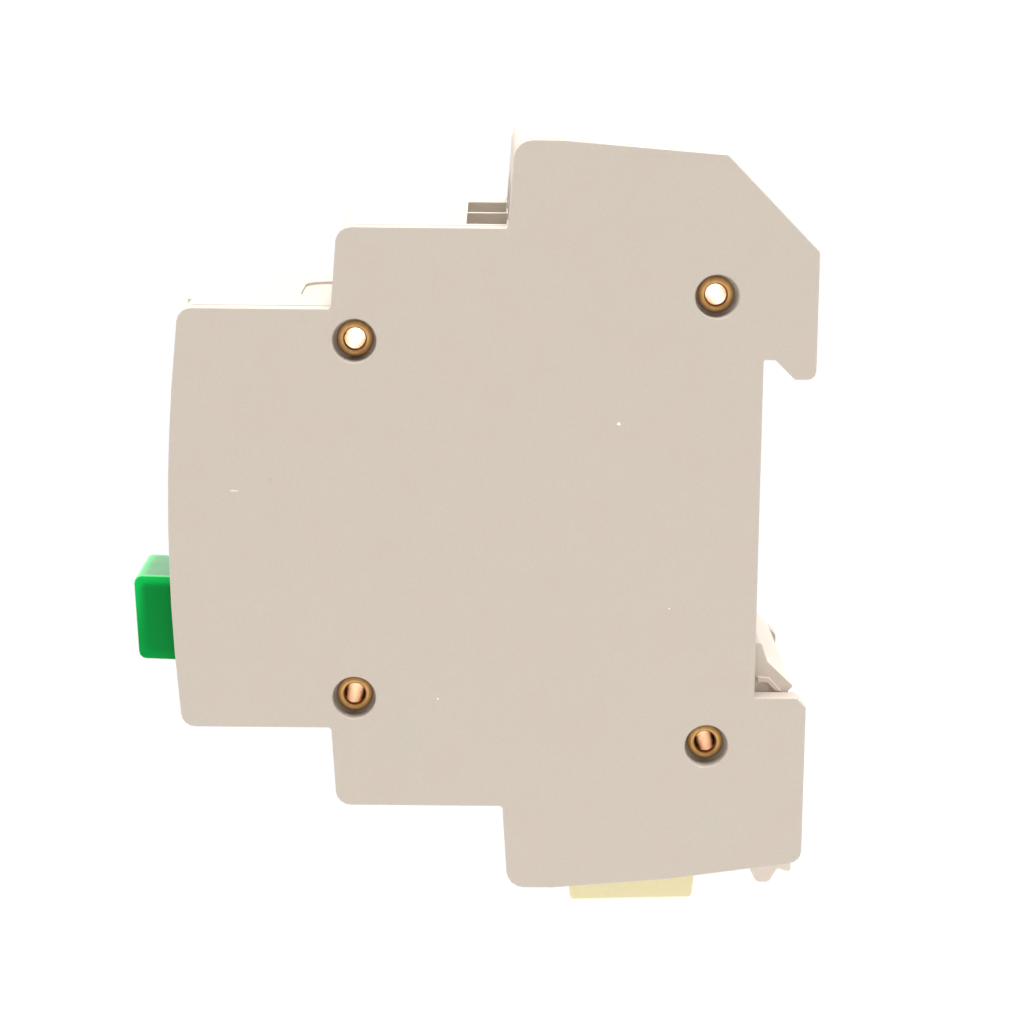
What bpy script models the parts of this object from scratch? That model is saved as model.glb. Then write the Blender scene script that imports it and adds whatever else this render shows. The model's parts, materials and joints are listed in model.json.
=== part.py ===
"""A two-pole circuit breaker for a 35 mm rail, two modules wide, as an assembly of separate pieces.

The front, with the toggle, faces -Y. The rail lies behind, at +Y. +Z is up and X runs across the poles.
The origin is on the flat face that the rail is held against, halfway across and halfway up the nose.
Every size below is in millimetres; the helpers turn it into metres as they make each mesh.
"""

from math import acos, atan2, cos, pi, radians, sin, sqrt

import bmesh
import bpy
from mathutils import Matrix, Vector

MM = 0.001
PART_COLLECTION = "circuit_breaker"
TOOL_COLLECTION = "cutters"

# Overall shape, seen from the side: y and z
HALF_WIDTH = 18.0
COVER_THICK = 2.75
COVER_INNER = HALF_WIDTH - COVER_THICK
SEAM = 0.3
BODY_HALF = COVER_INNER - SEAM
WALL = 1.8
FRONT_Y = -62.36
FRONT_RADIUS = 193.0
NOSE_HALF = 22.5
NOSE_CORNER_Y = -61.1
STEP_ONE_Y = -45.2
STEP_ONE_HALF = 31.07
STEP_TWO_Y = -26.8
STEP_TWO_HALF = 40.2
STEP_DRAFT = 0.07
TOP_BEND_Y = -21.3
TOP_BACK_Y = -4.2
TOP_BACK_Z = 38.85
REAR_Y = 5.55
CHAMFER_END_Z = 28.95
HOOK_LIP_Z = 15.56
HOOK_INNER_Y = 3.35
RECESS_TOP_Z = 17.61
RECESS_TOP_Y = 1.25
RECESS_LOW_Z = -18.85
LAND_TOP_Z = 15.0
LAND_LOW_Z = -12.9
LAND_RELIEF = 0.3
FOOT_LOW_Z = -37.05
FOOT_KINK_Y = -8.8
FOOT_KINK_Z = -39.1
BODY_FOOT_TOP_Z = -23.9
CAVITY_REAR_Y = -1.8

# Thumb notch in each shoulder of the nose
NOTCH_HALF = 7.5
NOTCH_FRONT_Y = -49.2
NOTCH_DEPTH = 0.3
NOTCH_RADIUS = 3.0

# Rivets: y and z of each, and radii
RIVETS = {
    "rivet_front_upper": (-42.75, 19.2),
    "rivet_front_lower": (-42.75, -19.2),
    "rivet_rear_upper": (-5.0, 24.2),
    "rivet_rear_lower": (-5.0, -24.2),
}
COUNTERBORE_RADIUS = 2.3
COUNTERBORE_DEPTH = 2.2
COUNTERBORE_CHAMFER = 0.15
RIVET_BORE = 1.25
RIVET_TUBE = 1.55
RIVET_ROLL = 1.95
RIVET_HOLE = 1.72
RIVET_POST = 2.8
RIVET_CREST_DEPTH = 1.72

# Toggle
TOGGLE_Y = -50.5
TOGGLE_X = 9.0
TOGGLE_WIDTH = 11.2
TOGGLE_SWING = 45.7
DRUM_RADIUS = 11.3
KNOB_RIDGE = 22.2
KNOB_SIDE = 9.1
KNOB_RIDGE_ANGLE = 95.0
SLOT_HALF = 16.7
SLOT_LEFT = 3.1
PIN_RADIUS = 1.0
RUNNING_GAP = 0.1
WALL_LEFT = 1.6
WALL_RIGHT = 2.8
CRANK_RADIUS = 5.5
LINK_PIN = 0.8
GROOVE_HALF = 1.1
LINK_GROOVE = [
    (-52.4, 9.0, 0),
    (-52.4, -2.6, 0),
    (-46.0, -6.0, 0),
    (-40.5, -15.0, 0),
    (-34.0, -15.0, 0),
    (-34.0, 13.0, 0),
    (-48.0, 13.0, 0),
]

# Contact shaft and contacts
SHAFT_Y = -36.02
SHAFT_Z = -12.18
SHAFT_HALF = 2.6
SHAFT_CRANK = 8.63
SHAFT_SWING = 18.0
JOURNAL_RADIUS = 1.5
BEARING_DEPTH = 1.4
ARM_X = 5.0
ARM_HALF = 1.8
ARM_TOP_Z = -8.2
ARM_THICK = 1.2
TIP_Y = -22.0
TIP_RADIUS = 2.0
STRAP_TOP_Z = -16.1
STRAP_THICK = 1.0
STRAP_END_Z = 36.3

# Partition between the poles: corners (y, z, radius) of its upper and lower pieces
PARTITION_HALF = 0.6
UPPER_PARTITION = [
    (-30.9, 29.8, 0),
    (-30.9, 20.9, 0),
    (-1.2, 20.9, 0),
    (-1.2, 34.2, 0),
    (-5.0, 37.6, 0),
    (-21.0, 38.9, 0),
    (-25.6, 38.9, 0),
    (-25.9, 29.8, 0),
]
LOWER_PARTITION = [
    (-30.9, -29.8, 0),
    (-25.9, -29.8, 0),
    (-25.6, -38.9, 0),
    (-21.0, -38.9, 0),
    (-8.8, -38.0, 0),
    (-1.2, -36.7, 0),
    (-1.2, -20.9, 0),
    (-30.9, -20.9, 0),
]

# Terminals: one cage and screw at each end of each pole
POLE_X = 6.9
SCREW_Z = 31.6
SCREW_HEAD_RADIUS = 3.2
SCREW_HEAD_FRONT = -26.2
SCREW_HEAD_THICK = 2.2
SCREW_SHANK_RADIUS = 2.2
SCREW_TIP_Y = -14.9
DRIVE_LONG = 2.7
DRIVE_SHORT = 1.9
DRIVE_HALF = 0.45
CAGE_FRONT_Y = -17.5
CAGE_REAR_Y = -3.7
CAGE_HALF = 5.4
CAGE_LOW_Z = 27.7
CAGE_HIGH_Z = 35.5
CAGE_FRONT_WALL = 2.4
CAGE_SIDE_WALL = 1.2
CAGE_REAR_WALL = 1.6
BAR_FRONT_Y = -14.5
BAR_THICK = 1.0
BAR_HALF = 3.9
POCKET_FRONT_Y = -31.2
POCKET_INNER_X = 0.6
POCKET_OUTER_X = 13.2
POCKET_FLOOR_Z = 27.3
ENTRY_FRONT_Y = -14.0
ENTRY_REAR_Y = -5.3
ENTRY_HALF = 4.3

# Blanks in the upper cable entries
BLANK_GAP = 0.04
BLANK_LOW_Z = 37.6

# Entry plug: half its cap's width, and the cap's corners (y, z, radius)
PLUG_HALF = 6.4
PLUG_CAP = [(-19.5, -40.45, 0.2), (-19.2, -43.15, 0.5), (-5.85, -42.75, 0.5), (-5.6, -39.75, 0.2)]

# Rail clip
CLIP_FRONT_Y = 0.55
CLIP_THICK = 1.6
CLIP_HALF = 12.5
CLIP_TOOTH_HALF = 14.75
CLIP_SLOT_GAP = 0.3
CLIP_WINDOW_HALF = 1.9
CLIP_WINDOW_TOP = -22.6
CLIP_WINDOW_LOW = -37.2
CLIP_RIB_TOP = -30.6
CLIP_RIB_LOW = -36.4
CLIP_TAB_HALF = 9.5

# Test button
BUTTON_X = -8.0
BUTTON_Z = 11.7
BUTTON_HALF_X = 4.1
BUTTON_HALF_Z = 3.3
BUTTON_PROUD = 1.0
BUTTON_GAP = 0.3
BUTTON_STEM = 1.2

# Summation transformer
CORE_Y = -11.5
CORE_Z = 6.5
CORE_OUTER = 7.6
CORE_INNER = 5.0
CORE_HALF = 3.4
WINDING_SKIN = 0.85
WINDING_GAP = 0.1

# Trip relay, its plunger and the trip lever
RELAY_LOW = (-14.2, -39.6, 8.6)
RELAY_HIGH = (-3.6, -27.0, 19.6)
PLUNGER_X = -8.9
PLUNGER_Y = -34.0
PLUNGER_Z = 8.2
PLUNGER_RADIUS = 1.2
LEVER_Y = -45.5
LEVER_Z = 6.6
LEVER_PIN = 0.8

# Label plate, circuit board and the parts on it
LABEL_LOW_Z = -17.3
LABEL_HIGH_Z = 4.6
LABEL_LEFT = -13.4
LABEL_RIGHT = 0.8
LABEL_SUNK = 0.08
LABEL_THICK = 0.37
LABEL_GAP = 0.3
BOARD_LOW_X = -14.6
BOARD_HIGH_X = -13.4
BOARD_PART_GAP = 0.2


def clear_scene():
    """Remove every object of the file that the script starts in."""
    for obj in list(bpy.data.objects):
        bpy.data.objects.remove(obj, do_unlink=True)


def make_collection(name):
    """A new collection under the scene's own."""
    collection = bpy.data.collections.new(name)
    bpy.context.scene.collection.children.link(collection)
    return collection


clear_scene()
PARTS = make_collection(PART_COLLECTION)
TOOLS = make_collection(TOOL_COLLECTION)
TOOLS.hide_render = True


# ---------------------------------------------------------------- materials


def make_material(name, colour, roughness, metallic=0.0):
    """A plain Principled material."""
    material = bpy.data.materials.new(name)
    material.use_nodes = True
    shader = material.node_tree.nodes["Principled BSDF"]
    shader.inputs["Base Color"].default_value = (*colour, 1.0)
    shader.inputs["Roughness"].default_value = roughness
    shader.inputs["Metallic"].default_value = metallic
    material.diffuse_color = (*colour, 1.0)
    return material


CASING = make_material("casing", (0.67, 0.59, 0.50), 0.55)
GREEN = make_material("green_plastic", (0.01, 0.33, 0.06), 0.25)
YELLOW = make_material("pale_yellow_plastic", (0.86, 0.76, 0.45), 0.5)
CLIP_GREY = make_material("clip_plastic", (0.60, 0.52, 0.43), 0.5)
WHITE = make_material("white_plastic", (0.80, 0.79, 0.75), 0.45)
DARK = make_material("dark_plastic", (0.06, 0.06, 0.07), 0.45)
BRASS = make_material("brass", (0.72, 0.46, 0.17), 0.25, 1.0)
STEEL = make_material("zinc_steel", (0.60, 0.60, 0.58), 0.3, 1.0)
SPRING = make_material("spring_steel", (0.45, 0.45, 0.46), 0.3, 1.0)
COPPER = make_material("copper", (0.72, 0.38, 0.24), 0.3, 1.0)
SILVER = make_material("silver", (0.80, 0.79, 0.76), 0.25, 1.0)
BOARD = make_material("board_green", (0.03, 0.22, 0.10), 0.5)
BLUE = make_material("sleeve_blue", (0.05, 0.16, 0.45), 0.4)


# ---------------------------------------------------------------- outlines


def fillet(corners):
    """Points of a closed outline from its (y, z, radius) corners, each rounded to its radius."""
    points = []
    count = len(corners)
    for index, (y, z, radius) in enumerate(corners):
        here = Vector((y, z))
        if radius <= 0:
            points.append((y, z))
            continue
        before = Vector(corners[index - 1][:2]) - here
        after = Vector(corners[(index + 1) % count][:2]) - here
        before.normalize()
        after.normalize()
        half = acos(max(-1.0, min(1.0, before.dot(after)))) / 2
        middle = (before + after).normalized()
        centre = here + middle * (radius / sin(half))
        start = here + before * (radius / (sin(half) / cos(half)))
        end = here + after * (radius / (sin(half) / cos(half)))
        first = atan2(start.y - centre.y, start.x - centre.x)
        turn = atan2(end.y - centre.y, end.x - centre.x) - first
        turn = (turn + pi) % (2 * pi) - pi
        steps = 1 if radius < 0.3 else 2 if radius < 0.75 else 3 if radius < 1.3 else 4
        for step in range(steps + 1):
            angle = first + turn * step / steps
            points.append((centre.x + radius * cos(angle), centre.y + radius * sin(angle)))
    return points


def front_y(z):
    """The curved front's y at a height."""
    return FRONT_Y + FRONT_RADIUS - sqrt(FRONT_RADIUS**2 - z**2)


def front_arc(count=8):
    """Corners along the curved front, from the bottom up, left sharp because they lie on the curve."""
    reach = NOSE_HALF - 3.5
    heights = [reach * (2 * step / count - 1) for step in range(count + 1)]
    return [(front_y(z), z, 0) for z in heights]


def upper_steps():
    """Corners of the upper front, from the nose back to the top's bend."""
    rise_one = STEP_DRAFT * (STEP_ONE_HALF - NOSE_HALF)
    rise_two = STEP_DRAFT * (STEP_TWO_HALF - STEP_ONE_HALF)
    return [
        (NOSE_CORNER_Y, NOSE_HALF, 1.5),
        (STEP_ONE_Y, NOSE_HALF, 0.25),
        (STEP_ONE_Y + rise_one, STEP_ONE_HALF, 1.6),
        (STEP_TWO_Y, STEP_ONE_HALF, 0.25),
        (STEP_TWO_Y + rise_two, STEP_TWO_HALF, 1.9),
        (TOP_BEND_Y, STEP_TWO_HALF, 0),
    ]


def mirrored(corners):
    """The same corners below the middle, in the order that closes the outline."""
    return [(y, -z, radius) for y, z, radius in reversed(corners)]


def side_outline(foot_top, foot_corner, land_relief=0.0):
    """Corners of the whole side, from the nose's top round the back to the nose's foot.

    With a relief, the face that the rail rests on stands proud between the hook and the clip.
    """
    land = [(0.0, RECESS_TOP_Z, 0.15), (0.0, foot_top, 0.15)]
    if land_relief:
        land = [
            (-land_relief, RECESS_TOP_Z, 0.15),
            (-land_relief, LAND_TOP_Z, 0),
            (0.0, LAND_TOP_Z - land_relief, 0),
            (0.0, LAND_LOW_Z + land_relief, 0),
            (-land_relief, LAND_LOW_Z, 0),
            (-land_relief, foot_top, 0.15),
        ]
    back = [
        (TOP_BACK_Y, TOP_BACK_Z, 0.6),
        (REAR_Y, CHAMFER_END_Z, 0.6),
        (REAR_Y, HOOK_LIP_Z, 0.9),
        (HOOK_INNER_Y, HOOK_LIP_Z, 0.2),
        (RECESS_TOP_Y, RECESS_TOP_Z, 0.2),
        *land,
        (REAR_Y - foot_corner, foot_top, 0.2),
        (REAR_Y, foot_top - foot_corner, 0.2),
        (REAR_Y, FOOT_LOW_Z, 1.4),
        (FOOT_KINK_Y, FOOT_KINK_Z, 0),
    ]
    return [*front_arc(), *upper_steps(), *back, *mirrored(upper_steps())]


def cavity_outline():
    """Corners of the hollow inside the casing's wall."""
    deep = STEP_ONE_Y + WALL
    inner = STEP_TWO_Y + WALL
    upper = [
        (FRONT_Y + WALL + 0.2, NOSE_HALF - WALL, 0.8),
        (deep, NOSE_HALF - WALL, 0.3),
        (deep + 0.5, STEP_ONE_HALF - WALL, 0.8),
        (inner, STEP_ONE_HALF - WALL, 0.3),
        (inner + 0.5, STEP_TWO_HALF - WALL, 0.8),
        (TOP_BEND_Y, STEP_TWO_HALF - WALL, 0),
    ]
    rear = [
        (TOP_BACK_Y - 0.8, TOP_BACK_Z - WALL, 0),
        (CAVITY_REAR_Y, TOP_BACK_Z - WALL - 3.1, 0.4),
        (CAVITY_REAR_Y, FOOT_LOW_Z + WALL - 0.8, 0.4),
        (FOOT_KINK_Y, FOOT_KINK_Z + WALL, 0),
    ]
    return [*upper, *rear, *mirrored(upper)]


def rectangle(y_low, y_high, z_low, z_high, radius=0.0):
    """Corners of a rectangle in the side view."""
    return [
        (y_low, z_low, radius),
        (y_high, z_low, radius),
        (y_high, z_high, radius),
        (y_low, z_high, radius),
    ]


# ---------------------------------------------------------------- solids


def add_object(name, mesh, collection):
    """An object of this mesh in this collection; one in the tools' collection stays out of the part."""
    obj = bpy.data.objects.new(name, mesh)
    collection.objects.link(obj)
    if collection is TOOLS:
        obj.hide_render = True
        obj.display_type = "WIRE"
    return obj


def curve_to_mesh(curve_data, name, collection, matrix):
    """The mesh object that a curve makes, with its caps welded to its sides."""
    guide = bpy.data.objects.new(name + "_curve", curve_data)
    bpy.context.scene.collection.objects.link(guide)
    guide.matrix_world = matrix
    graph = bpy.context.evaluated_depsgraph_get()
    mesh = bpy.data.meshes.new_from_object(guide.evaluated_get(graph))
    mesh.name = name
    work = bmesh.new()
    work.from_mesh(mesh)
    bmesh.ops.remove_doubles(work, verts=work.verts, dist=1e-7)
    bmesh.ops.recalc_face_normals(work, faces=work.faces)
    work.to_mesh(mesh)
    work.free()
    obj = add_object(name, mesh, collection)
    obj.matrix_world = guide.matrix_world.copy()
    bpy.data.objects.remove(guide, do_unlink=True)
    bpy.data.curves.remove(curve_data)
    return obj


def across(x):
    """Places a drawing's own x and y along the part's y and z, at this distance across."""
    turn = Matrix(((0, 0, 1, 0), (1, 0, 0, 0), (0, 1, 0, 0), (0, 0, 0, 1)))
    return Matrix.Translation((x * MM, 0, 0)) @ turn


def extruded(name, thickness, matrix, outlines, collection):
    """A flat outline, with any holes in it, given a thickness and put in place."""
    data = bpy.data.curves.new(name, "CURVE")
    data.dimensions = "2D"
    data.fill_mode = "BOTH"
    data.extrude = thickness / 2 * MM
    for corners in outlines:
        points = fillet(corners)
        spline = data.splines.new("POLY")
        spline.points.add(len(points) - 1)
        for point, (first, second) in zip(spline.points, points):
            point.co = (first * MM, second * MM, 0, 1)
        spline.use_cyclic_u = True
    return curve_to_mesh(data, name, collection, matrix)


def slab(name, x_low, x_high, *outlines, collection=None):
    """An outline in the side view, made as thick as the two x values say."""
    return extruded(name, x_high - x_low, across((x_low + x_high) / 2), outlines, collection or PARTS)


def plan_tool(name, z_low, z_high, corners):
    """A cutter with an outline in the view from above: its corners are (x, y, radius)."""
    middle = Matrix.Translation((0, 0, (z_low + z_high) / 2 * MM))
    return extruded(name, z_high - z_low, middle, [corners], TOOLS)


def box(name, low, high, collection=None, bevel=0.0):
    """A box between two corners, with its scale applied, and its edges rounded if asked."""
    mesh = bpy.data.meshes.new(name)
    work = bmesh.new()
    bmesh.ops.create_cube(work, size=1.0)
    size = [(b - a) * MM for a, b in zip(low, high)]
    middle = [(a + b) / 2 * MM for a, b in zip(low, high)]
    bmesh.ops.scale(work, vec=size, verts=work.verts)
    bmesh.ops.translate(work, vec=middle, verts=work.verts)
    work.to_mesh(mesh)
    work.free()
    obj = add_object(name, mesh, collection or PARTS)
    if bevel:
        add_bevel(obj, bevel)
    return obj


AXIS_TURNS = {
    "X": Matrix.Rotation(pi / 2, 4, "Y"),
    "Y": Matrix.Rotation(-pi / 2, 4, "X"),
    "Z": Matrix.Identity(4),
}


def rod(name, centre, axis, radius, length, collection=None, sides=24):
    """A round bar along an axis, centred on a point."""
    mesh = bpy.data.meshes.new(name)
    work = bmesh.new()
    bmesh.ops.create_cone(
        work,
        cap_ends=True,
        segments=sides,
        radius1=radius * MM,
        radius2=radius * MM,
        depth=length * MM,
    )
    work.transform(Matrix.Translation(Vector(centre) * MM) @ AXIS_TURNS[axis])
    work.to_mesh(mesh)
    work.free()
    return add_object(name, mesh, collection or PARTS)


def turned(name, profile, centre, axis, sides=24, collection=None):
    """A turned shape: (radius, height) points, from the top down the outer side, swept by Screw."""
    mesh = bpy.data.meshes.new(name)
    points = [(radius * MM, 0, height * MM) for radius, height in profile]
    closed = all(radius > 0 for radius, _ in profile)
    edges = [(index, index + 1) for index in range(len(points) - 1)]
    if closed:
        edges.append((len(points) - 1, 0))
    mesh.from_pydata(points, edges, [])
    obj = add_object(name, mesh, collection or PARTS)
    obj.matrix_world = Matrix.Translation(Vector(centre) * MM) @ AXIS_TURNS[axis]
    screw = obj.modifiers.new("turn", "SCREW")
    screw.axis = "Z"
    screw.steps = sides
    screw.render_steps = sides
    screw.use_merge_vertices = True
    screw.merge_threshold = 1e-6
    return obj


def tube(name, points, radius, collection=None, resolution=1):
    """A round wire through (x, y, z) points, with its ends capped."""
    data = bpy.data.curves.new(name, "CURVE")
    data.dimensions = "3D"
    data.bevel_depth = radius * MM
    data.bevel_resolution = resolution
    data.use_fill_caps = True
    spline = data.splines.new("POLY")
    spline.points.add(len(points) - 1)
    for point, (x, y, z) in zip(spline.points, points):
        point.co = (x * MM, y * MM, z * MM, 1)
    return curve_to_mesh(data, name, collection or PARTS, Matrix.Identity(4))


def coil_points(centre, axis, radius, length, turns, per_turn=8):
    """Points of a helix along an axis, centred on a point."""
    count = int(turns * per_turn)
    points = []
    for step in range(count + 1):
        angle = 2 * pi * step / per_turn
        along = length * (step / count - 0.5)
        local = Vector((radius * cos(angle), radius * sin(angle), along))
        points.append(tuple(Vector(centre) + AXIS_TURNS[axis] @ local))
    return points


def add_bevel(obj, width, segments=1, angle=50):
    """Breaks the edges sharper than the angle."""
    bevel = obj.modifiers.new("edges", "BEVEL")
    bevel.width = width * MM
    bevel.segments = segments
    bevel.limit_method = "ANGLE"
    bevel.angle_limit = radians(angle)
    return bevel


def boolean(obj, tool, operation):
    """Cuts a tool from an object, or joins it on."""
    modifier = obj.modifiers.new(tool.name, "BOOLEAN")
    modifier.object = tool
    modifier.operation = operation
    modifier.solver = "EXACT"
    return modifier


def cut(obj, *tools):
    """Cuts each tool from an object."""
    for tool in tools:
        boolean(obj, tool, "DIFFERENCE")


def join(obj, *tools):
    """Joins each tool on to an object."""
    for tool in tools:
        boolean(obj, tool, "UNION")


def move_origin(obj, origin):
    """Applies a piece's modifiers, then moves its origin to a point without moving the piece."""
    graph = bpy.context.evaluated_depsgraph_get()
    mesh = bpy.data.meshes.new_from_object(obj.evaluated_get(graph))
    mesh.name = obj.name
    obj.modifiers.clear()
    obj.data = mesh
    place = Matrix.Translation(Vector(origin) * MM)
    mesh.transform(place.inverted() @ obj.matrix_world)
    obj.matrix_world = place


def finish(obj, material, origin=None, smooth=None):
    """Gives a piece its material and, if it moves or turns, its origin on its axis."""
    if origin:
        move_origin(obj, origin)
    obj.data.materials.clear()
    obj.data.materials.append(material)
    if smooth:
        obj.data.shade_smooth()
        obj.data.set_sharp_from_angle(angle=radians(smooth))
    return obj


def tool_box(name, low, high):
    """A box that only cuts or joins."""
    return box(name, low, high, TOOLS)


def tool_rod(name, centre, axis, radius, length, sides=24):
    """A round bar that only cuts or joins."""
    return rod(name, centre, axis, radius, length, TOOLS, sides)


# ---------------------------------------------------------------- casing


def polar(centre_y, centre_z, radius, angle):
    """The (y, z) point at a radius and an angle in degrees, from +Y towards +Z."""
    return (
        centre_y + radius * cos(radians(angle)),
        centre_z + radius * sin(radians(angle)),
    )


def label_line(depth, margin=0.0, count=4):
    """Corners at this depth behind the curved front, from the label's lower edge to its upper one."""
    low, high = LABEL_LOW_Z - margin, LABEL_HIGH_Z + margin
    heights = [low + (high - low) * step / count for step in range(count + 1)]
    return [(front_y(z) + depth, z, 0) for z in heights]


def make_body():
    """The frame between the covers: outer wall, posts, partitions, pockets and guides."""
    outline = side_outline(BODY_FOOT_TOP_Z, 0.6, LAND_RELIEF)
    body = slab("housing_body", -BODY_HALF, BODY_HALF, outline, cavity_outline())

    inner = BODY_HALF - 0.01
    # The partition between the poles stands only beside the terminals.
    for side, corners in (("upper", UPPER_PARTITION), ("lower", LOWER_PARTITION)):
        join(body, slab("partition_" + side, -PARTITION_HALF, PARTITION_HALF, corners, collection=TOOLS))

    # The wall beside the toggle holds the toggle's pin and the trip lever's pin.
    wall = slab(
        "mechanism_wall",
        WALL_LEFT,
        WALL_RIGHT,
        [(-61.6, -21.6, 0), (-43.9, -21.6, 0), (-43.9, 21.6, 0), (-61.6, 21.6, 0)],
        collection=TOOLS,
    )
    join(body, wall)

    for name, (y, z) in RIVETS.items():
        join(body, tool_rod(name + "_post", (0, y, z), "X", RIVET_POST, 2 * inner))

    # Ledges close the toggle's slot above and below, behind the knob's path.
    for sign in (1, -1):
        low, high = sorted((sign * SLOT_HALF, sign * (SLOT_HALF + 1.5)))
        join(body, tool_box(f"slot_shelf_{sign}", (2.0, -61.0, low), (inner, -54.9, high)))
        low, high = sorted((sign * 10.6, sign * (SLOT_HALF + 1.4)))
        join(body, tool_box(f"slot_stop_{sign}", (2.1, -56.3, low), (inner - 0.01, -54.95, high)))

    # Pocket liners: the lead-ins for the screwdriver, sunk in each second step.
    for sign in (1, -1):
        low, high = sorted((sign * (POCKET_FLOOR_Z - 1.3), sign * (STEP_ONE_HALF - 0.5)))
        reach = inner - 0.6
        join(body, tool_box(f"pocket_liner_{sign}", (-reach, -32.5, low), (reach, -24.4, high)))

    # The shelf that guides the test button's stem, and the rib that holds the test contact.
    join(body, tool_box("button_shelf", (-inner, -55.2, 6.2), (WALL_LEFT + 0.1, -53.9, 21.3)))
    join(body, tool_box("contact_rib", (-inner, -49.4, -1.0), (WALL_LEFT + 0.1, -47.9, 4.6)))
    join(body, tool_box("rib_web", (-inner, -61.2, -0.9), (WALL_LEFT + 0.1, -47.9, 0.6)))

    # The relay's cradle, and the ledge that holds the transformer.
    join(body, tool_box("relay_shelf", (-inner, -43.2, 20.2), (WALL_LEFT, -26.0, 21.4)))
    join(body, tool_box("relay_hanger", (-inner, -44.2, 19.9), (WALL_LEFT, -42.6, 23.0)))
    join(body, tool_box("core_ledge", (-9.0, -21.2, 12.2), (9.0, -1.2, 13.4)))
    cut(body, tool_box("conductor_gap", (-6.4, -14.0, 11.2), (6.4, -9.0, 14.4)))

    cut_openings(body)
    cut_clip_slot(body)
    return finish(body, CASING)


def cut_openings(body):
    """The toggle's slot, the button's and label's places, screw pockets, cable entries and pin holes."""
    cut(body, tool_box("toggle_slot", (SLOT_LEFT, -64.0, -SLOT_HALF), (BODY_HALF + 1, -57.6, SLOT_HALF)))
    cut(
        body,
        tool_box(
            "button_hole",
            (BUTTON_X - BUTTON_HALF_X - BUTTON_GAP, -64.0, BUTTON_Z - BUTTON_HALF_Z - BUTTON_GAP),
            (BUTTON_X + BUTTON_HALF_X + BUTTON_GAP, -59.0, BUTTON_Z + BUTTON_HALF_Z + BUTTON_GAP),
        ),
    )
    cut(body, tool_rod("stem_hole", (BUTTON_X, -54.5, BUTTON_Z), "Y", BUTTON_STEM + 0.2, 4.0))
    low, high = LABEL_LOW_Z - LABEL_GAP, LABEL_HIGH_Z + LABEL_GAP
    floor = LABEL_SUNK + LABEL_THICK + 0.1
    label = [*label_line(floor, LABEL_GAP), (-64, high, 0), (-64, low, 0)]
    recess = slab("label_recess", LABEL_LEFT - LABEL_GAP, LABEL_RIGHT + LABEL_GAP, label, collection=TOOLS)
    cut(body, recess)

    for name, (y, z) in RIVETS.items():
        cut(body, tool_rod(name + "_hole", (0, y, z), "X", RIVET_HOLE, 40))

    for z_sign in (1, -1):
        for x_sign in (1, -1):
            tag = f"{z_sign}_{x_sign}"
            x_low, x_high = sorted((x_sign * POCKET_INNER_X, x_sign * POCKET_OUTER_X))
            z_low, z_high = sorted((z_sign * POCKET_FLOOR_Z, z_sign * (STEP_ONE_HALF + 3)))
            pocket = tool_box("pocket_" + tag, (x_low, POCKET_FRONT_Y, z_low), (x_high, -26.9, z_high))
            cut(body, pocket)
            centre = (x_sign * POLE_X, -25.5, z_sign * SCREW_Z)
            cut(body, tool_rod("driver_hole_" + tag, centre, "Y", SCREW_HEAD_RADIUS + 0.5, 6.0))
            z_low, z_high = sorted((z_sign * 36.0, z_sign * 42.0))
            entry = tool_box(
                "cable_entry_" + tag,
                (x_sign * POLE_X - ENTRY_HALF, ENTRY_FRONT_Y, z_low),
                (x_sign * POLE_X + ENTRY_HALF, ENTRY_REAR_Y, z_high),
            )
            cut(body, entry)

    # A shallow thumb notch with rounded corners in each shoulder of the nose.
    back = STEP_ONE_Y + 0.02
    notch = [
        (-NOTCH_HALF, back, 0),
        (-NOTCH_HALF, NOTCH_FRONT_Y, NOTCH_RADIUS),
        (NOTCH_HALF, NOTCH_FRONT_Y, NOTCH_RADIUS),
        (NOTCH_HALF, back, 0),
    ]
    for sign in (1, -1):
        low, high = sorted((sign * (NOSE_HALF - NOTCH_DEPTH), sign * (NOSE_HALF + 1.0)))
        cut(body, plan_tool(f"shoulder_notch_{sign}", low, high, notch))

    cut(body, tool_rod("toggle_pin_hole", (2.2, TOGGLE_Y, 0), "X", PIN_RADIUS + RUNNING_GAP, 3))
    cut(body, tool_rod("lever_pin_hole", (2.2, LEVER_Y, LEVER_Z), "X", LEVER_PIN + RUNNING_GAP, 3))


def cut_clip_slot(body):
    """The guide in the foot where the rail clip slides, with the rib that its spring stands on."""
    front = CLIP_FRONT_Y - CLIP_SLOT_GAP
    rear = CLIP_FRONT_Y + CLIP_THICK + CLIP_SLOT_GAP
    half = CLIP_HALF + CLIP_SLOT_GAP
    cut(body, tool_box("clip_guide", (-half, front, -41.0), (half, rear, -20.0)))
    rib_half = CLIP_WINDOW_HALF - 0.4
    low = (-rib_half, front - 0.4, CLIP_RIB_LOW)
    high = (rib_half, rear + 0.4, CLIP_RIB_TOP)
    join(body, tool_box("clip_rib", low, high))


def counterbore_profile(sign):
    """(radius, height) points of a counterbore's cutter, with a small chamfer at its mouth."""
    above = 1.0
    half = [
        (0, above),
        (COUNTERBORE_RADIUS + COUNTERBORE_CHAMFER + above, above),
        (COUNTERBORE_RADIUS, -COUNTERBORE_CHAMFER),
        (COUNTERBORE_RADIUS, -COUNTERBORE_DEPTH),
        (0, -COUNTERBORE_DEPTH),
    ]
    if sign > 0:
        return half
    return [(radius, -height) for radius, height in reversed(half)]


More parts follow.
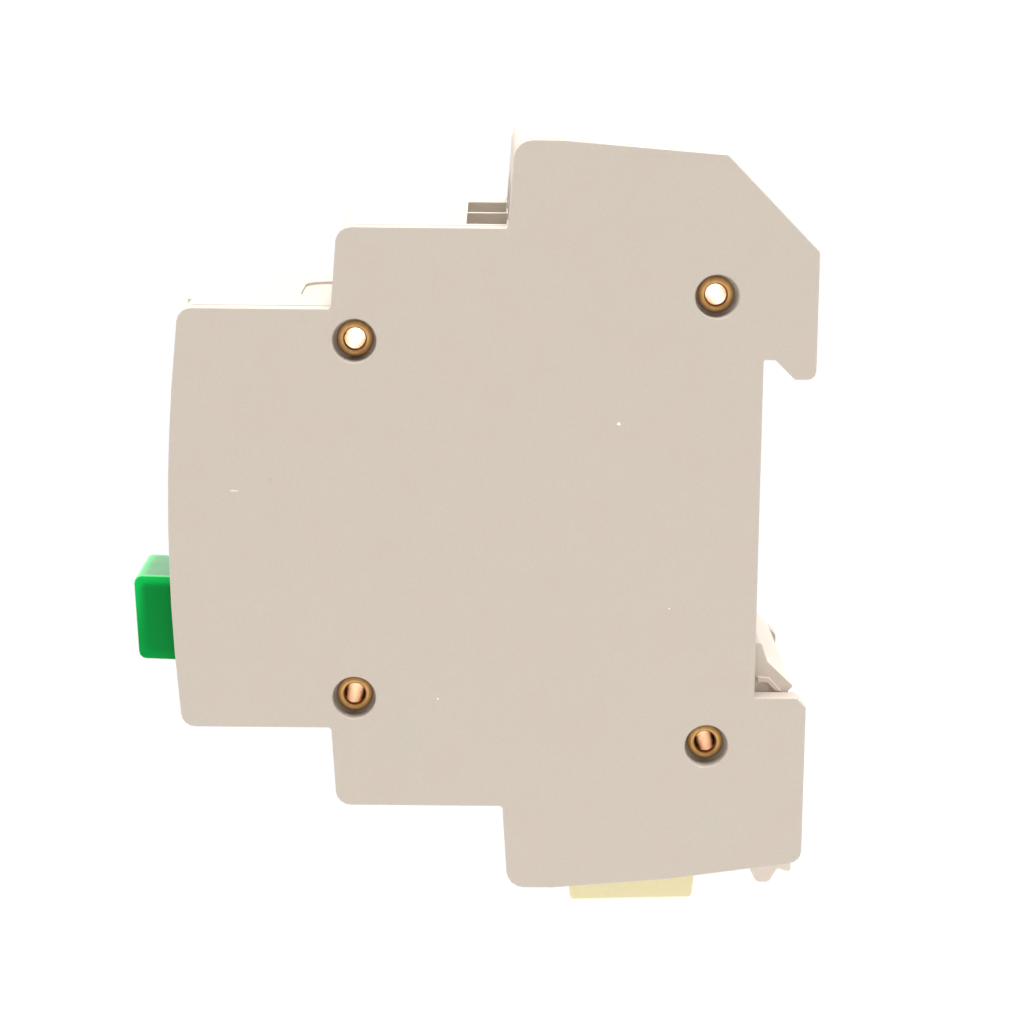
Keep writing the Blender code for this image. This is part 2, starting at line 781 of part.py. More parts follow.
def make_cover(name, sign):
    """A side cover: a plate with four counterbored rivet holes and blind bearings inside."""
    low, high = sorted((sign * COVER_INNER, sign * HALF_WIDTH))
    cover = slab(name, low, high, side_outline(RECESS_LOW_Z, 0.97))
    add_bevel(cover, 0.22)
    outer = sign * HALF_WIDTH
    mouth = counterbore_profile(sign)
    for rivet, (y, z) in RIVETS.items():
        bore = turned(f"{name}_{rivet}_bore", mouth, (outer, y, z), "X", 28, TOOLS)
        hole = tool_rod(f"{name}_{rivet}_hole", (outer, y, z), "X", RIVET_HOLE, 8)
        cut(cover, bore, hole)
    inner = sign * COVER_INNER
    bearings = [(SHAFT_Y, SHAFT_Z, JOURNAL_RADIUS)]
    if sign > 0:
        bearings.append((TOGGLE_Y, 0, PIN_RADIUS))
    else:
        bearings.append((LEVER_Y, LEVER_Z, LEVER_PIN))
    for y, z, radius in bearings:
        centre = (inner, y, z)
        cut(cover, tool_rod(f"{name}_bearing_{radius}", centre, "X", radius + RUNNING_GAP, 2 * BEARING_DEPTH))
    return finish(cover, CASING)


def make_rivet(name, y, z):
    """A hollow rivet, rolled over at both ends."""
    crest = HALF_WIDTH - RIVET_CREST_DEPTH
    floor = HALF_WIDTH - COUNTERBORE_DEPTH + 0.04
    middle = (RIVET_BORE + RIVET_ROLL) / 2
    half = (RIVET_ROLL - RIVET_BORE) / 2
    rise = crest - floor
    roll = []
    for step in range(6):
        angle = pi * (1 - step / 5)
        roll.append((middle + half * cos(angle), floor + rise * sin(angle)))
    lower = [(radius, -height) for radius, height in reversed(roll)]
    profile = [*roll, (RIVET_TUBE, floor), (RIVET_TUBE, -floor), *lower]
    rivet = turned(name, profile, (0, y, z), "X", sides=18)
    return finish(rivet, BRASS, smooth=40)


def make_label():
    """A blank plate in its recess on the front."""
    outer = label_line(LABEL_SUNK)
    inner = label_line(LABEL_SUNK + LABEL_THICK)
    plate = slab("label_plate", LABEL_LEFT, LABEL_RIGHT, [*outer, *reversed(inner)])
    return finish(plate, WHITE)


def make_entry_plug(name, x):
    """A pale plug that closes a lower cable entry: a cap under the foot and a spigot in the entry."""
    plug = slab(name, x - PLUG_HALF, x + PLUG_HALF, PLUG_CAP)
    add_bevel(plug, 0.25)
    spigot = box(
        name + "_spigot",
        (x - ENTRY_HALF + 0.3, ENTRY_FRONT_Y + 0.3, -41.0),
        (x + ENTRY_HALF - 0.3, ENTRY_REAR_Y - 0.5, -36.6),
        TOOLS,
    )
    join(plug, spigot)
    return finish(plug, YELLOW)


def make_entry_blank(name, x):
    """A blank that closes an upper cable entry, flush with the casing's sloping top."""
    front = ENTRY_FRONT_Y + BLANK_GAP
    rear = ENTRY_REAR_Y - BLANK_GAP
    slope = (TOP_BACK_Z - STEP_TWO_HALF) / (TOP_BACK_Y - TOP_BEND_Y)
    top_front = STEP_TWO_HALF + slope * (front - TOP_BEND_Y)
    top_rear = STEP_TWO_HALF + slope * (rear - TOP_BEND_Y)
    corners = [(front, BLANK_LOW_Z, 0), (rear, BLANK_LOW_Z, 0), (rear, top_rear, 0), (front, top_front, 0)]
    half = ENTRY_HALF - BLANK_GAP
    return finish(slab(name, x - half, x + half, corners), CASING)


# ---------------------------------------------------------------- rail clip


def make_rail_clip():
    """The sliding latch: a tooth behind the rail's lower edge, a guided plate and a pull tab."""
    back = CLIP_FRONT_Y + CLIP_THICK
    tooth = [
        (0.05, -13.6, 0.1),
        (0.94, -13.55, 0.2),
        (1.66, -15.6, 0.2),
        (4.52, -18.3, 0.15),
        (4.0, -18.75, 0.1),
        (3.9, -19.3, 0.1),
        (0.05, -19.3, 0.1),
    ]
    clip = slab("rail_clip", -CLIP_TOOTH_HALF, CLIP_TOOTH_HALF, list(reversed(tooth)))
    plate = tool_box("clip_plate", (-CLIP_HALF, CLIP_FRONT_Y, -38.6), (CLIP_HALF, back, -18.9))
    tab = [
        (0.75, -37.6, 0),
        (0.95, -40.9, 0.5),
        (1.6, -42.2, 0.6),
        (3.0, -42.2, 0.6),
        (3.9, -40.6, 0.3),
        (5.4, -41.0, 0.3),
        (5.4, -38.9, 0.3),
        (2.1, -38.5, 0),
        (2.1, -37.6, 0),
    ]
    tail = slab("clip_tab", -CLIP_TAB_HALF, CLIP_TAB_HALF, list(reversed(tab)), collection=TOOLS)
    join(clip, plate, tail)
    rim = [
        (0.6, -17.25, 0),
        (1.85, -17.35, 0),
        (3.15, -18.8, 0),
        (2.55, -18.8, 0),
        (1.65, -17.85, 0),
        (0.6, -17.85, 0),
    ]
    for sign in (1, -1):
        low, high = sorted((sign * (CLIP_TOOTH_HALF - 0.4), sign * (CLIP_TOOTH_HALF + 0.3)))
        join(clip, slab(f"clip_rim_{sign}", low, high, list(reversed(rim)), collection=TOOLS))
    window = tool_box(
        "clip_window",
        (-CLIP_WINDOW_HALF, -0.5, CLIP_WINDOW_LOW),
        (CLIP_WINDOW_HALF, 3.0, CLIP_WINDOW_TOP),
    )
    cut(clip, window)
    return finish(clip, CLIP_GREY, origin=(0, CLIP_FRONT_Y, RECESS_LOW_Z))


def make_clip_spring():
    """The small coil that pushes the rail clip up."""
    low = CLIP_RIB_TOP + 0.35
    high = CLIP_WINDOW_TOP - 0.35
    y = CLIP_FRONT_Y + CLIP_THICK / 2
    points = coil_points((0, y, (low + high) / 2), "Z", 0.7, high - low, 5)
    spring = tube("clip_spring", points, 0.16)
    return finish(spring, SPRING, origin=(0, y, CLIP_RIB_TOP), smooth=40)


# ---------------------------------------------------------------- toggle and its linkage


def make_toggle():
    """The toggle: a drum on a pin, a square knob on its corner, and a groove for the link."""
    x_low = TOGGLE_X - TOGGLE_WIDTH / 2
    x_high = TOGGLE_X + TOGGLE_WIDTH / 2
    pointing = 180 + TOGGLE_SWING
    ridge = polar(TOGGLE_Y, 0, KNOB_RIDGE, pointing)
    half = KNOB_RIDGE_ANGLE / 2
    upper = polar(*ridge, KNOB_SIDE, pointing + 180 - half)
    lower = polar(*ridge, KNOB_SIDE, pointing + 180 + half)
    root_up = polar(*upper, 9.0, pointing + 180 + half)
    root_low = polar(*lower, 9.0, pointing + 180 - half)
    knob = [
        (*ridge, 0.8),
        (*lower, 0.8),
        (*root_low, 0),
        (*root_up, 0),
        (*upper, 0.8),
    ]
    toggle = slab("toggle", x_low, x_high, knob)
    add_bevel(toggle, 0.45, 2)
    drum = tool_rod("drum", (TOGGLE_X, TOGGLE_Y, 0), "X", DRUM_RADIUS, TOGGLE_WIDTH - 0.3, 36)
    join(toggle, drum)
    groove_low = TOGGLE_X - GROOVE_HALF
    groove_high = TOGGLE_X + GROOVE_HALF
    groove = slab(
        "link_groove",
        groove_low,
        groove_high,
        LINK_GROOVE,
        collection=TOOLS,
    )
    pin = polar(TOGGLE_Y, 0, CRANK_RADIUS, TOGGLE_SWING)
    crank = tool_rod("crank_hole", (TOGGLE_X, *pin), "X", LINK_PIN + 0.12, 5.2, 16)
    bore = tool_rod("toggle_bore", (TOGGLE_X, TOGGLE_Y, 0), "X", PIN_RADIUS + RUNNING_GAP, 20)
    seat = tool_rod("spring_seat", (x_low, TOGGLE_Y, 0), "X", 4.4, 6.4, 32)
    cut(toggle, groove, crank, bore, seat)
    return finish(toggle, GREEN, origin=(TOGGLE_X, TOGGLE_Y, 0), smooth=35)


def make_toggle_pin():
    """The steel pin that the toggle turns on."""
    low, high = WALL_LEFT + 0.3, COVER_INNER + 1.05
    pin = rod("toggle_pin", ((low + high) / 2, TOGGLE_Y, 0), "X", PIN_RADIUS, high - low)
    return finish(pin, STEEL, smooth=40)


def make_toggle_spring():
    """The coil round the toggle's pin, in the drum's seat."""
    points = coil_points((4.9, TOGGLE_Y, 0), "X", 2.6, 2.6, 3)
    spring = tube("toggle_spring", points, 0.35)
    return finish(spring, SPRING, origin=(4.9, TOGGLE_Y, 0), smooth=40)


def link_ends():
    """The (y, z) points of the link's two pins at rest."""
    near = polar(TOGGLE_Y, 0, CRANK_RADIUS, TOGGLE_SWING)
    far = polar(SHAFT_Y, SHAFT_Z, SHAFT_CRANK, 90 + SHAFT_SWING / 2)
    return near, far


def make_toggle_link():
    """The flat link between toggle and contact shaft, with a cross pin at each end."""
    near, far = link_ends()
    link = rod("toggle_link", (TOGGLE_X, *near), "X", LINK_PIN, 4.6, sides=16)
    join(link, tool_rod("link_far_pin", (TOGGLE_X, *far), "X", LINK_PIN, 4.6, 16))
    along = (Vector(far) - Vector(near)).normalized()
    side = Vector((-along.y, along.x)) * 1.3
    start = Vector(near) - along * 1.2
    end = Vector(far) + along * 1.2
    bar = [(*(start + side), 0.8), (*(start - side), 0.8), (*(end - side), 0.8), (*(end + side), 0.8)]
    join(link, slab("link_bar", TOGGLE_X - 0.6, TOGGLE_X + 0.6, bar, collection=TOOLS))
    return finish(link, STEEL, origin=(TOGGLE_X, *near), smooth=40)


# ---------------------------------------------------------------- contacts


def make_contact_shaft():
    """The insulating bar that carries both moving contacts, with its slotted crank."""
    y, z, half = SHAFT_Y, SHAFT_Z, SHAFT_HALF
    shaft = slab("contact_shaft", -14.9, 14.9, rectangle(y - half, y + half, z - half, z + half, 0.6))
    length = 2 * (COVER_INNER + BEARING_DEPTH - 0.25)
    join(shaft, tool_rod("shaft_journals", (0, y, z), "X", JOURNAL_RADIUS, length, 16))
    _, far = link_ends()
    far_y, far_z = far
    cheek = [
        (y - 2.3, z, 0),
        (y + 2.5, z, 0),
        (far_y + 5.2, far_z - 1.2, 0.4),
        (far_y + 5.2, far_z + 1.9, 0.8),
        (far_y - 1.9, far_z + 1.9, 0.8),
        (far_y - 1.9, far_z - 1.2, 0.4),
    ]
    slot = [
        (far_y - 1.0, far_z - 1.1, 0.9),
        (far_y + 3.9, far_z - 1.6, 0.9),
        (far_y + 3.9, far_z + 1.0, 0.9),
        (far_y - 1.0, far_z + 1.0, 0.9),
    ]
    for tag, x_low, x_high in (("left", 7.0, 8.1), ("right", 9.9, 11.0)):
        join(shaft, slab("crank_" + tag, x_low, x_high, cheek, collection=TOOLS))
    cut(shaft, slab("crank_slot", 6.5, 11.5, slot, collection=TOOLS))
    for sign in (1, -1):
        x_low, x_high = sign * ARM_X - ARM_HALF - 0.15, sign * ARM_X + ARM_HALF + 0.15
        seat = tool_box(f"arm_seat_{sign}", (x_low, y - 4, ARM_TOP_Z - ARM_THICK - 0.9), (x_high, y + 4, -5))
        cut(shaft, seat)
    return finish(shaft, DARK, origin=(0, y, z))


def make_moving_contact(name, x):
    """A contact arm on the shaft, with a silver tip riveted under its end."""
    low = ARM_TOP_Z - ARM_THICK
    corners = [
        (SHAFT_Y - 2.2, low - 0.8, 0.3),
        (SHAFT_Y + 2.3, low - 0.8, 0.3),
        (SHAFT_Y + 4.2, low, 0.3),
        (TIP_Y + 2.6, low, 0.3),
        (TIP_Y + 2.6, ARM_TOP_Z, 0.3),
        (SHAFT_Y + 3.6, ARM_TOP_Z, 0.3),
        (SHAFT_Y + 1.8, low + 0.3, 0.3),
        (SHAFT_Y - 2.2, low + 0.3, 0.3),
    ]
    arm = slab(name, x - ARM_HALF, x + ARM_HALF, corners)
    cut(arm, tool_rod(name + "_hole", (x, TIP_Y, ARM_TOP_Z), "Z", 0.8, 5, 12))
    finish(arm, COPPER, origin=(x, SHAFT_Y, SHAFT_Z))
    profile = [
        (0, 0.9),
        (0.7, 0.9),
        (0.7, -0.7),
        (TIP_RADIUS - 0.1, -0.7),
        (TIP_RADIUS - 0.2, -1.2),
        (0, -1.5),
    ]
    tip = turned(name.replace("arm", "tip"), profile, (x, TIP_Y, low + 0.6), "Z", sides=16)
    finish(tip, SILVER, origin=(x, SHAFT_Y, SHAFT_Z), smooth=40)


def make_fixed_contact(name, x):
    """The copper strap from a lower terminal up to the fixed contact, and its silver tip."""
    pole = POLE_X if x > 0 else -POLE_X
    corners = [
        (BAR_FRONT_Y, -STRAP_END_Z, 0.2),
        (BAR_FRONT_Y + BAR_THICK, -STRAP_END_Z, 0.2),
        (BAR_FRONT_Y + BAR_THICK, STRAP_TOP_Z, 1.0),
        (TIP_Y - 3.0, STRAP_TOP_Z, 0.2),
        (TIP_Y - 3.0, STRAP_TOP_Z - STRAP_THICK, 0.2),
        (BAR_FRONT_Y, STRAP_TOP_Z - STRAP_THICK, 0.3),
    ]
    strap = slab(name, pole - BAR_HALF, pole + BAR_HALF, corners)
    cut(strap, tool_rod(name + "_hole", (x, TIP_Y - 0.2, STRAP_TOP_Z), "Z", 0.8, 5, 12))
    finish(strap, COPPER)
    profile = [
        (0, 1.0),
        (TIP_RADIUS - 0.3, 0.85),
        (TIP_RADIUS, 0.6),
        (TIP_RADIUS, 0.08),
        (0.7, 0.08),
        (0.7, -1.2),
        (0, -1.2),
    ]
    tip = turned(name.replace("strap", "tip"), profile, (x, TIP_Y - 0.2, STRAP_TOP_Z), "Z", sides=16)
    finish(tip, SILVER, smooth=40)


def make_arc_chute(name, x):
    """Five steel plates held in a fibre card behind the contacts."""
    back = BAR_FRONT_Y - 0.5
    front = TIP_Y + 3.3
    low = STRAP_TOP_Z + 0.6
    pitch = 2.1
    outline = [(back, low, 0)]
    outline += [(back, low + 4 * pitch + 0.6, 0)]
    for step in range(4, -1, -1):
        z = low + step * pitch
        outline += [(front, z + 0.6, 0), (front, z, 0)]
        if step:
            outline += [(back - 0.6, z, 0), (back - 0.6, z - pitch + 0.6, 0)]
    chute = slab(name, x - 4.3, x + 4.3, outline)
    return finish(chute, STEEL)


# ---------------------------------------------------------------- terminals


def make_terminal(tag, x, sign):
    """A clamp cage and its screw, at one end of one pole; sign is +1 above and -1 below."""
    z_low, z_high = sorted((sign * CAGE_LOW_Z, sign * CAGE_HIGH_Z))
    cage = box(
        "terminal_clamp_" + tag,
        (x - CAGE_HALF, CAGE_FRONT_Y, z_low),
        (x + CAGE_HALF, CAGE_REAR_Y, z_high),
        bevel=0.35,
    )
    mouth = tool_box(
        f"mouth_{tag}",
        (x - CAGE_HALF + CAGE_SIDE_WALL, CAGE_FRONT_Y + CAGE_FRONT_WALL, z_low - 1),
        (x + CAGE_HALF - CAGE_SIDE_WALL, CAGE_REAR_Y - CAGE_REAR_WALL, z_high + 1),
    )
    seat = (x, CAGE_FRONT_Y, sign * SCREW_Z)
    thread = tool_rod(f"thread_{tag}", seat, "Y", SCREW_SHANK_RADIUS + 0.1, 5.2)
    cut(cage, mouth, thread)
    finish(cage, STEEL, origin=seat)

    shank = SCREW_TIP_Y - SCREW_HEAD_FRONT
    profile = [
        (0, 0),
        (SCREW_SHANK_RADIUS - 0.5, 0),
        (SCREW_SHANK_RADIUS, -0.5),
        (SCREW_SHANK_RADIUS, SCREW_HEAD_THICK - shank),
        (SCREW_HEAD_RADIUS, SCREW_HEAD_THICK - shank),
        (SCREW_HEAD_RADIUS, 0.3 - shank),
        (SCREW_HEAD_RADIUS - 0.3, -shank),
        (0, -shank),
    ]
    screw = turned("terminal_screw_" + tag, profile, (x, SCREW_TIP_Y, sign * SCREW_Z), "Y", sides=20)
    for half_x, half_z, depth in ((DRIVE_LONG, DRIVE_HALF, 1.2), (DRIVE_HALF, DRIVE_SHORT, 1.3)):
        low = (x - half_x, SCREW_HEAD_FRONT - 1, sign * SCREW_Z - half_z)
        high = (x + half_x, SCREW_HEAD_FRONT + depth, sign * SCREW_Z + half_z)
        cut(screw, tool_box(f"drive_{tag}_{depth}", low, high))
    finish(screw, STEEL, origin=(x, SCREW_HEAD_FRONT, sign * SCREW_Z), smooth=40)


def make_line_bar(name, x):
    """The copper bar that runs through an upper clamp."""
    corners = rectangle(BAR_FRONT_Y, BAR_FRONT_Y + BAR_THICK, 17.0, 37.3, 0.2)
    bar = slab(name, x - BAR_HALF, x + BAR_HALF, corners)
    return finish(bar, COPPER)


def make_conductor(name, sign):
    """The insulated wire from an upper bar, down through the transformer, to the contact shaft's side."""
    route = [
        (sign * 6.9, -12.1, 20.5),
        (sign * 6.9, -11.9, 18.0),
        (sign * 4.6, -11.6, 15.6),
        (sign * 2.4, -11.5, 13.9),
        (sign * 1.75, -11.5, 11.5),
        (sign * 1.75, -11.5, 6.5),
        (sign * 1.75, -11.5, 1.0),
        (sign * 2.0, -13.0, -0.9),
        (sign * 2.2, -17.0, -1.8),
        (sign * 2.4, -23.0, -2.6),
        (sign * 2.4, -29.0, -4.0),
        (sign * 2.3, -32.0, -6.0),
    ]
    wire = tube(name, route, 1.15, resolution=2)
    return finish(wire, BLUE if sign < 0 else DARK, smooth=40)


# ---------------------------------------------------------------- fault sensing and trip


def ring_profile(skin):
    """(radius, height) points of the ring core's section, grown by a skin."""
    return [
        (CORE_OUTER + skin, CORE_HALF + skin),
        (CORE_OUTER + skin, -CORE_HALF - skin),
        (CORE_INNER - skin, -CORE_HALF - skin),
        (CORE_INNER - skin, CORE_HALF + skin),
    ]


def make_sensing_core():
    """The ring core of the summation transformer, under its winding."""
    core = turned("sensing_core", ring_profile(0.0), (0, CORE_Y, CORE_Z), "Z", sides=32)
    return finish(core, DARK, smooth=40)


def make_sense_winding():
    """The secondary winding: a sleeve round half of the ring core."""
    centre = (0, CORE_Y, CORE_Z)
    sleeve = turned("sense_winding", ring_profile(WINDING_SKIN), centre, "Z", 32)
    cut(sleeve, turned("winding_hollow", ring_profile(WINDING_GAP), centre, "Z", 32, TOOLS))
    cut(sleeve, tool_box("winding_gap", (-12, CORE_Y, -5), (12, CORE_Y + 12, 20)))
    return finish(sleeve, COPPER, smooth=40)


def make_trip_relay():
    """The relay's case, open below round its plunger."""
    case = box("trip_relay", RELAY_LOW, RELAY_HIGH, bevel=0.5)
    cut(case, tool_rod("relay_bore", (PLUNGER_X, PLUNGER_Y, 9.0), "Z", PLUNGER_RADIUS + 0.15, 12))
    return finish(case, DARK)


def make_relay_plunger():
    """The pin that the relay pushes out to trip the breaker."""
    foot = PLUNGER_RADIUS + 0.4
    profile = [(0, 6.0), (PLUNGER_RADIUS, 6.0), (PLUNGER_RADIUS, -1.2), (foot, -1.2), (foot, -2.0), (0, -2.0)]
    origin = (PLUNGER_X, PLUNGER_Y, PLUNGER_Z)
    plunger = turned("relay_plunger", profile, origin, "Z", sides=16)
    return finish(plunger, STEEL, origin=origin, smooth=40)


def make_trip_lever():
    """The lever that the plunger pushes down to release the latch."""
    corners = [
        (LEVER_Y - 1.9, LEVER_Z - 1.6, 0.8),
        (LEVER_Y + 1.6, LEVER_Z - 1.9, 0.4),
        (-31.6, 4.5, 0.4),
        (-31.6, 5.8, 0.4),
        (LEVER_Y + 3.0, LEVER_Z + 0.2, 0.5),
        (LEVER_Y + 1.6, LEVER_Z + 1.9, 0.8),
        (LEVER_Y - 1.9, LEVER_Z + 1.9, 0.8),
    ]
    lever = slab("trip_lever", -11.6, -6.2, corners)
    cut(lever, tool_rod("lever_bore", (-9, LEVER_Y, LEVER_Z), "X", LEVER_PIN + RUNNING_GAP, 12, 16))
    return finish(lever, WHITE, origin=(-8.9, LEVER_Y, LEVER_Z))


def make_lever_pin():
    """The pin that the trip lever turns on."""
    low, high = -COVER_INNER - 1.05, WALL_RIGHT - 0.3
    pin = rod("trip_lever_pin", ((low + high) / 2, LEVER_Y, LEVER_Z), "X", LEVER_PIN, high - low, sides=16)
    return finish(pin, STEEL, smooth=40)


def make_lever_spring():
    """The coil on the lever's pin that turns the lever back."""
    points = coil_points((-3.0, LEVER_Y, LEVER_Z), "X", 1.6, 2.8, 3)
    spring = tube("trip_lever_spring", points, 0.25)
    return finish(spring, SPRING, origin=(-3.0, LEVER_Y, LEVER_Z), smooth=40)


# ---------------------------------------------------------------- test circuit


def make_test_button():
    """The test button: a dished cap with a flange inside the front wall, and a stem."""
    x, z = BUTTON_X, BUTTON_Z
    front = front_y(z) - BUTTON_PROUD
    button = box("test_button", (x - BUTTON_HALF_X, front, z - BUTTON_HALF_Z),
                 (x + BUTTON_HALF_X, -59.4, z + BUTTON_HALF_Z), bevel=0.5)
    flange = tool_box("button_flange", (x - 5.0, -60.1, z - 4.2), (x + 5.0, -59.2, z + 4.2))
    stem = tool_rod("button_stem", (x, -55.45, z), "Y", BUTTON_STEM, 8.7, 16)
    dish = tool_rod("button_dish", (x, front - 9.5, z), "X", 9.9, 6.2, 48)
    join(button, flange, stem)
    cut(button, dish)
    return finish(button, DARK, origin=(x, front, z))


def make_button_spring():
    """The coil between the button's flange and the guide shelf."""
    low = -58.8
    high = -55.6
    points = coil_points((BUTTON_X, (low + high) / 2, BUTTON_Z), "Y", 2.0, high - low, 3)
    spring = tube("test_button_spring", points, 0.25)
    return finish(spring, SPRING, origin=(BUTTON_X, high, BUTTON_Z), smooth=40)


def make_test_contact():
    """The bent strip that the button's stem presses to close the test circuit."""
    corners = [
        (-49.7, 4.9, 0),
        (-47.6, 4.9, 0),
        (-47.6, 5.2, 0),
        (-49.0, 5.5, 0),
        (-49.0, 12.6, 0),
        (-47.4, 13.6, 0),
        (-47.6, 13.9, 0),
        (-49.3, 13.0, 0),
        (-49.4, 5.3, 0),
        (-49.7, 5.2, 0),
    ]
    strip = slab("test_contact", BUTTON_X - 1.5, BUTTON_X + 1.5, corners)
    return finish(strip, BRASS)


def make_circuit_board():
    """The board beside the left cover, with two mounting holes."""
    board = slab("circuit_board", BOARD_LOW_X, BOARD_HIGH_X, rectangle(-30.8, -4.4, -17.0, 7.4, 1.0))
    for tag, y, z in (("low", -28.8, -15.0), ("high", -6.4, 5.4)):
        cut(board, tool_rod("board_hole_" + tag, (-14, y, z), "X", 0.9, 4, 12))
    return finish(board, BOARD)


def make_board_parts():
    """The parts soldered on the board: a resistor, a film capacitor and a chip."""
    lead = [(0, 5.2), (0.3, 5.2), (0.3, 3.3)]
    case = [(1.3, 3.1), (1.3, -3.1)]
    tail = [(radius, -height) for radius, height in reversed(lead)]
    resistor = turned("test_resistor", [*lead, *case, *tail], (-11.8, -26.6, -7.0), "Z", sides=12)
    finish(resistor, BLUE, smooth=40)
    low = BOARD_HIGH_X + BOARD_PART_GAP
    capacitor = box("board_capacitor", (low, -24.6, 2.0), (-9.4, -21.9, 6.6), bevel=0.4)
    finish(capacitor, YELLOW)
    chip = box("board_chip", (low, -11.0, -12.0), (-11.8, -7.2, -6.6), bevel=0.15)
    finish(chip, DARK)


# ---------------------------------------------------------------- assembly


def build():
    """Makes every piece where it sits with the toggle down and the contacts open."""
    make_body()
    make_cover("cover_right", 1)
    make_cover("cover_left", -1)
    for name, (y, z) in RIVETS.items():
        make_rivet(name, y, z)
    make_label()
    make_entry_plug("entry_plug_right", POLE_X)
    make_entry_plug("entry_plug_left", -POLE_X)
    make_entry_blank("entry_blank_right", POLE_X)
    make_entry_blank("entry_blank_left", -POLE_X)
    make_rail_clip()
    make_clip_spring()

    make_toggle()
    make_toggle_pin()
    make_toggle_spring()
    make_toggle_link()

    make_contact_shaft()
    for side, sign in (("right", 1), ("left", -1)):
        make_moving_contact("moving_arm_" + side, sign * ARM_X)
        make_fixed_contact("fixed_strap_" + side, sign * ARM_X)
        make_arc_chute("arc_chute_" + side, sign * POLE_X)
        make_line_bar("line_bar_" + side, sign * POLE_X)
        make_conductor("conductor_" + side, sign)
        make_terminal("upper_" + side, sign * POLE_X, 1)
        make_terminal("lower_" + side, sign * POLE_X, -1)

    make_sensing_core()
    make_sense_winding()
    make_trip_relay()
    make_relay_plunger()
    make_trip_lever()
    make_lever_pin()
    make_lever_spring()

    make_test_button()
    make_button_spring()
    make_test_contact()
    make_circuit_board()
    make_board_parts()


build()
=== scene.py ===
"""The looks of a two-pole circuit breaker for a mounting rail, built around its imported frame."""

import json
from math import cos, pi, radians, sin

import bmesh
import bpy
from mathutils import Matrix, Vector


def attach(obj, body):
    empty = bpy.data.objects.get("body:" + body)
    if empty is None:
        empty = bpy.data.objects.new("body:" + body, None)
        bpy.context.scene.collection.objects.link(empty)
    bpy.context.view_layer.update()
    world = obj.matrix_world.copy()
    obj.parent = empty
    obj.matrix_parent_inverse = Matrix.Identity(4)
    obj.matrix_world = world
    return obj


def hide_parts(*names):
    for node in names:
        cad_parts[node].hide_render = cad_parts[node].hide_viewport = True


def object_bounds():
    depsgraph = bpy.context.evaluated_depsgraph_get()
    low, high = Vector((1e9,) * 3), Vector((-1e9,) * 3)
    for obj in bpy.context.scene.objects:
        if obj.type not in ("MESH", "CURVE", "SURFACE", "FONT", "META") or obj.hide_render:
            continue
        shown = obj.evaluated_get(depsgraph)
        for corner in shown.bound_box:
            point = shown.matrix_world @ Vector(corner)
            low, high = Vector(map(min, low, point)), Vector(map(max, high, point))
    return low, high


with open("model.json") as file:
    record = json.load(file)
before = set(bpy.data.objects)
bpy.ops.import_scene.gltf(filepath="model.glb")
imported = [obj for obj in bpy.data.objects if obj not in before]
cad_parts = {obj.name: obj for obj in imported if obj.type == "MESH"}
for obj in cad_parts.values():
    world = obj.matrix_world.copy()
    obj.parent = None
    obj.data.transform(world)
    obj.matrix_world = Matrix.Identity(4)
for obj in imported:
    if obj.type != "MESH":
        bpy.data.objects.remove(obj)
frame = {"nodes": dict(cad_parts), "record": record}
cad_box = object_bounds()
NODES = frame["nodes"]
RECORD = frame["record"]
MM = 0.001
BODY_OF = {node: body for body, nodes in RECORD["behaviour"]["bodies"].items() for node in nodes}
SLOT_OF = {entry["node"]: entry["material_slot"] for entry in RECORD["subparts"]}


# ---------------------------------------------------------------- node helpers

EDGE_SAMPLES = 6
# The grain that makes a spot ragged, in cycles a metre, and the radius at the end of a radius ramp
SPOT_GRAIN = 5200.0
RAMP_RADIUS = 2.0 * MM


